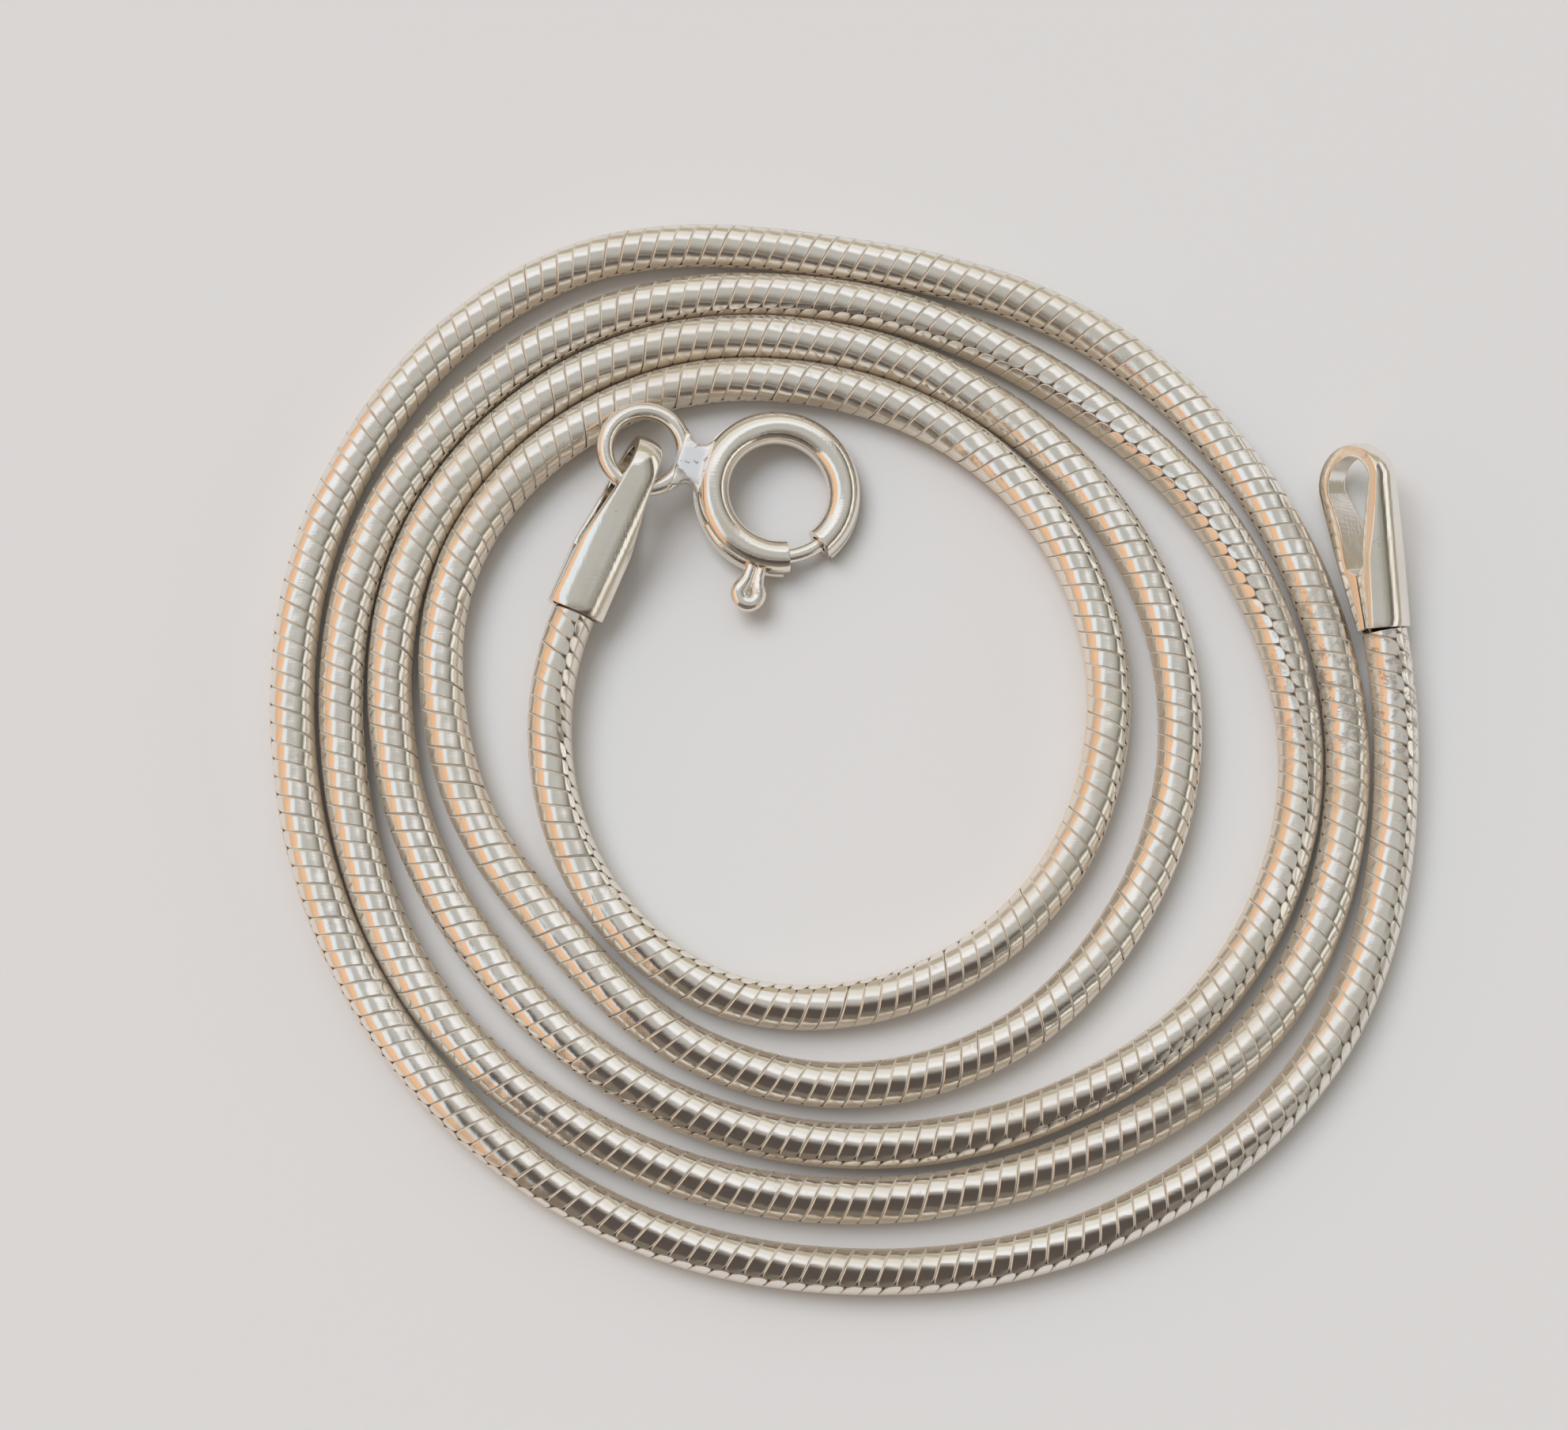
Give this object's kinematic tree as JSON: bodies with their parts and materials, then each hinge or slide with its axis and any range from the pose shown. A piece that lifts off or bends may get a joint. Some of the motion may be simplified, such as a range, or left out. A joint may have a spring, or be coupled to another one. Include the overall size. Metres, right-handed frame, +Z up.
{
  "type": "snake chain necklace",
  "caption": "Round snake chain necklace lying unfastened in a flat coil, with a folded strap cap at each end and a sprung ring clasp that a thumb loop opens.",
  "frame": {"origin": "on the surface that the necklace lies on, under the middle of the coil's outline", "axes": "+Z up from that surface, +Y away from the viewer of the picture, +X to the viewer's right, along the coil's widest extent"},
  "size_m": [0.0492, 0.0466, 0.0038],
  "materials": {
    "chain_silver": "sterling silver links, polished on the crowns and slightly darkened in the seams",
    "polished_silver": "sterling silver, polished, with small handling scratches"
  },
  "bodies": {
    "necklace": {"chain": "chain_silver", "end_cap_inner": "polished_silver", "end_cap_outer": "polished_silver", "spring_ring": "polished_silver"},
    "trigger": {"clasp_trigger": "polished_silver"}
  },
  "joints": [
    {"name": "trigger_turn", "type": "hinge", "parent": "necklace", "child": "trigger", "pos_m": [-0.00292, 0.01107, 0.00114], "axis": [-0.141, 0.0404, -0.9892], "range_deg": [0, 38], "stiffness_Nm_per_rad": 0.002, "springref_deg": -22.92}
  ]
}
